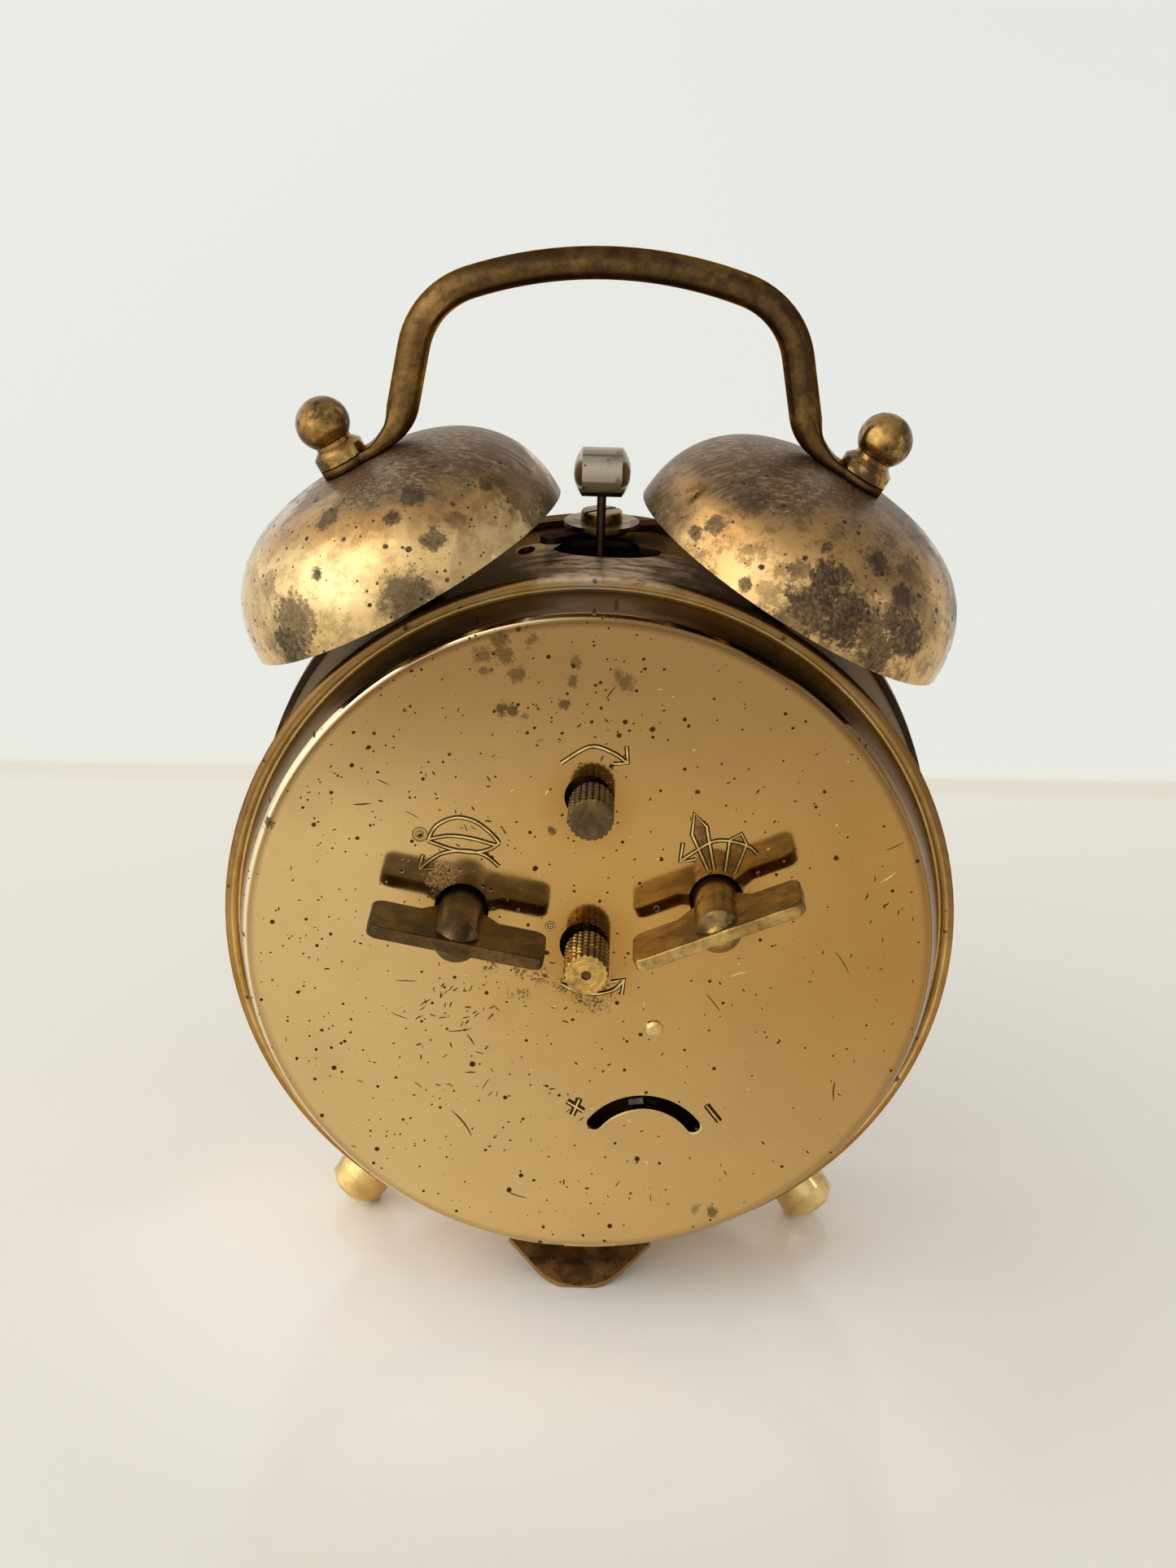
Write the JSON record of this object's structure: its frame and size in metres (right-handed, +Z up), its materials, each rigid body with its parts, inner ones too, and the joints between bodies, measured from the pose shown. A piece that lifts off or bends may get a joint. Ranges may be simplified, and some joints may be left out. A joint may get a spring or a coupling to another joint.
{
  "type": "alarm clock",
  "caption": "Wind-up alarm clock in tarnished brass with twin bells, a hammer between them, a bow handle, turned feet, rear winding keys and setting knobs.",
  "frame": {"origin": "on the standing surface, under the middle of the overall box", "axes": "+Z up, the dial faces -Y, the winding keys stand out towards +Y, +X is to the right seen from the dial"},
  "size_m": [0.09, 0.0528, 0.1311],
  "materials": {
    "aged_brass": "tarnished",
    "polished_brass": "polished, spotted",
    "bell_brass": "tarnished, spotted",
    "handle_brass": "worn brown",
    "key_brass": "worn",
    "knob_brass": "knurled, worn",
    "movement_brass": "satin",
    "steel": "satin",
    "dark_steel": "darkened",
    "nickel": "worn nickel",
    "blued_steel": "blued",
    "crystal_glass": "clear",
    "dial_paint": "matt",
    "dial_ring": "satin",
    "hand_paint": "gloss",
    "hand_brass": "satin"
  },
  "bodies": {
    "clock": {"case_body": "aged_brass", "bezel": "aged_brass", "crystal": "crystal_glass", "dial_ring": "dial_ring", "dial_plate": "dial_paint", "rear_cover": "polished_brass", "cover_rivet": "polished_brass", "bell_left": "bell_brass", "bell_right": "bell_brass", "bell_posts": "aged_brass", "finial_left": "aged_brass", "finial_right": "aged_brass", "carry_handle": "handle_brass", "front_feet": "aged_brass", "rear_foot": "dark_steel", "rear_foot_rivets": "aged_brass", "lever_washer": "aged_brass", "lever_screw": "aged_brass", "front_plate": "movement_brass", "rear_plate": "movement_brass", "plate_pillars": "steel", "pillar_nuts": "steel", "movement_brackets": "steel", "time_mainspring": "blued_steel", "alarm_mainspring": "blued_steel", "hairspring": "blued_steel", "balance_bearings": "movement_brass"},
    "hand_setting": {"centre_arbor": "steel", "time_set_knob": "knob_brass", "minute_hand": "hand_paint"},
    "minute_work": {"minute_wheel": "movement_brass"},
    "hour_work": {"hour_wheel": "movement_brass", "hour_hand": "hand_paint"},
    "centre_gear": {"centre_wheel": "movement_brass"},
    "time_great": {"time_great_wheel": "movement_brass"},
    "time_winding": {"time_winding_arbor": "steel", "time_key_hub": "key_brass", "time_key_wing": "key_brass"},
    "third_gear": {"third_wheel": "movement_brass"},
    "fourth_gear": {"fourth_wheel": "movement_brass"},
    "escape_gear": {"escape_wheel": "movement_brass"},
    "pallets": {"pallet_fork": "steel"},
    "balance": {"balance_wheel": "movement_brass", "balance_staff": "steel"},
    "regulator": {"regulator_lever": "steel"},
    "alarm_great": {"alarm_great_wheel": "movement_brass"},
    "alarm_winding": {"alarm_winding_arbor": "steel", "alarm_key_hub": "key_brass", "alarm_key_wing": "key_brass"},
    "alarm_escape": {"alarm_escape_wheel": "movement_brass"},
    "hammer": {"hammer_arbor": "steel", "hammer_rod": "dark_steel", "hammer_head": "nickel"},
    "alarm_setting": {"alarm_set_knob": "knob_brass", "alarm_set_arbor": "steel"},
    "alarm_dial_work": {"alarm_wheel": "movement_brass", "alarm_hand": "hand_brass"},
    "alarm_stop": {"stop_lever": "dark_steel"},
    "time_pawl": {"time_click": "steel"},
    "alarm_pawl": {"alarm_click": "steel"}
  },
  "joints": [
    {"name": "hand_setting", "type": "hinge", "parent": "clock", "child": "hand_setting", "pos_m": [0, 0.01435, 0.05], "axis": [0, 1, 0], "continuous": true},
    {"name": "minute_work_turn", "type": "hinge", "parent": "clock", "child": "minute_work", "pos_m": [-0.0072, -0.01265, 0.05], "axis": [0, 1, 0], "continuous": true},
    {"name": "hour_hand_turn", "type": "hinge", "parent": "clock", "child": "hour_work", "pos_m": [0, -0.01365, 0.05], "axis": [0, 1, 0], "continuous": true},
    {"name": "fourth_turn", "type": "hinge", "parent": "clock", "child": "fourth_gear", "pos_m": [-0.00196, -0.00265, 0.0364], "axis": [0, 1, 0], "continuous": true},
    {"name": "third_turn", "type": "hinge", "parent": "clock", "child": "third_gear", "pos_m": [0.0054, -0.00565, 0.04065], "axis": [0, 1, 0], "continuous": true},
    {"name": "centre_turn", "type": "hinge", "parent": "clock", "child": "centre_gear", "pos_m": [0, -0.00865, 0.05], "axis": [0, 1, 0], "continuous": true},
    {"name": "time_great_turn", "type": "hinge", "parent": "clock", "child": "time_great", "pos_m": [-0.0153, 0.00235, 0.057], "axis": [0, 1, 0], "continuous": true},
    {"name": "escape_turn", "type": "hinge", "parent": "clock", "child": "escape_gear", "pos_m": [0.00364, 0.00065, 0.0308], "axis": [0, 1, 0], "continuous": true},
    {"name": "alarm_setting", "type": "hinge", "parent": "clock", "child": "alarm_setting", "pos_m": [0, 0.01435, 0.0691], "axis": [0, 1, 0], "continuous": true},
    {"name": "alarm_hand_turn", "type": "hinge", "parent": "clock", "child": "alarm_dial_work", "pos_m": [0, -0.01565, 0.05], "axis": [0, 1, 0], "continuous": true},
    {"name": "wind_time", "type": "hinge", "parent": "clock", "child": "time_winding", "pos_m": [-0.0153, 0.01435, 0.057], "axis": [0, 1, 0], "range_deg": [0, 1620]},
    {"name": "wind_alarm", "type": "hinge", "parent": "clock", "child": "alarm_winding", "pos_m": [0.0153, 0.01435, 0.0547], "axis": [0, 1, 0], "range_deg": [0, 1080]},
    {"name": "alarm_great_turn", "type": "hinge", "parent": "clock", "child": "alarm_great", "pos_m": [0.0153, 0.00235, 0.0547], "axis": [0, 1, 0], "continuous": true},
    {"name": "alarm_escape_turn", "type": "hinge", "parent": "clock", "child": "alarm_escape", "pos_m": [0.01065, -0.00165, 0.06748], "axis": [0, 1, 0], "continuous": true},
    {"name": "hammer_swing", "type": "hinge", "parent": "clock", "child": "hammer", "pos_m": [0, -0.00545, 0.0755], "axis": [0, 1, 0], "range_deg": [-3.5, 3.5]},
    {"name": "alarm_stop", "type": "hinge", "parent": "clock", "child": "alarm_stop", "pos_m": [0, -0.01505, 0.0943], "axis": [0, 0, 1], "range_deg": [-14, 12]},
    {"name": "regulate", "type": "hinge", "parent": "clock", "child": "regulator", "pos_m": [-0.0076, 0.00635, 0.0218], "axis": [0, -1, 0], "range_deg": [-40, 56]},
    {"name": "balance_swing", "type": "hinge", "parent": "clock", "child": "balance", "pos_m": [-0.0076, -0.00365, 0.0218], "axis": [0, 1, 0], "range_deg": [-180, 180], "stiffness_Nm_per_rad": 0.000012},
    {"name": "pallet_rock", "type": "hinge", "parent": "clock", "child": "pallets", "pos_m": [-0.00131, 0.00185, 0.02684], "axis": [0, 1, 0], "range_deg": [-4, 4]},
    {"name": "time_click_lift", "type": "hinge", "parent": "clock", "child": "time_pawl", "pos_m": [-0.01877, 0.00675, 0.06353], "axis": [0, -1, 0], "range_deg": [0, 15]},
    {"name": "alarm_click_lift", "type": "hinge", "parent": "clock", "child": "alarm_pawl", "pos_m": [0.01877, 0.00675, 0.06123], "axis": [0, -1, 0], "range_deg": [0, 15]}
  ],
  "couplings": [
    {"joint": "minute_work_turn", "follows": "hand_setting", "ratio": -0.33333},
    {"joint": "hour_hand_turn", "follows": "hand_setting", "ratio": 0.083333},
    {"joint": "third_turn", "follows": "fourth_turn", "ratio": -0.13333},
    {"joint": "centre_turn", "follows": "fourth_turn", "ratio": 0.016667},
    {"joint": "time_great_turn", "follows": "fourth_turn", "ratio": -0.0025253},
    {"joint": "escape_turn", "follows": "fourth_turn", "ratio": -8},
    {"joint": "alarm_hand_turn", "follows": "alarm_setting", "ratio": -0.5},
    {"joint": "alarm_escape_turn", "follows": "alarm_great_turn", "ratio": -7.5}
  ]
}
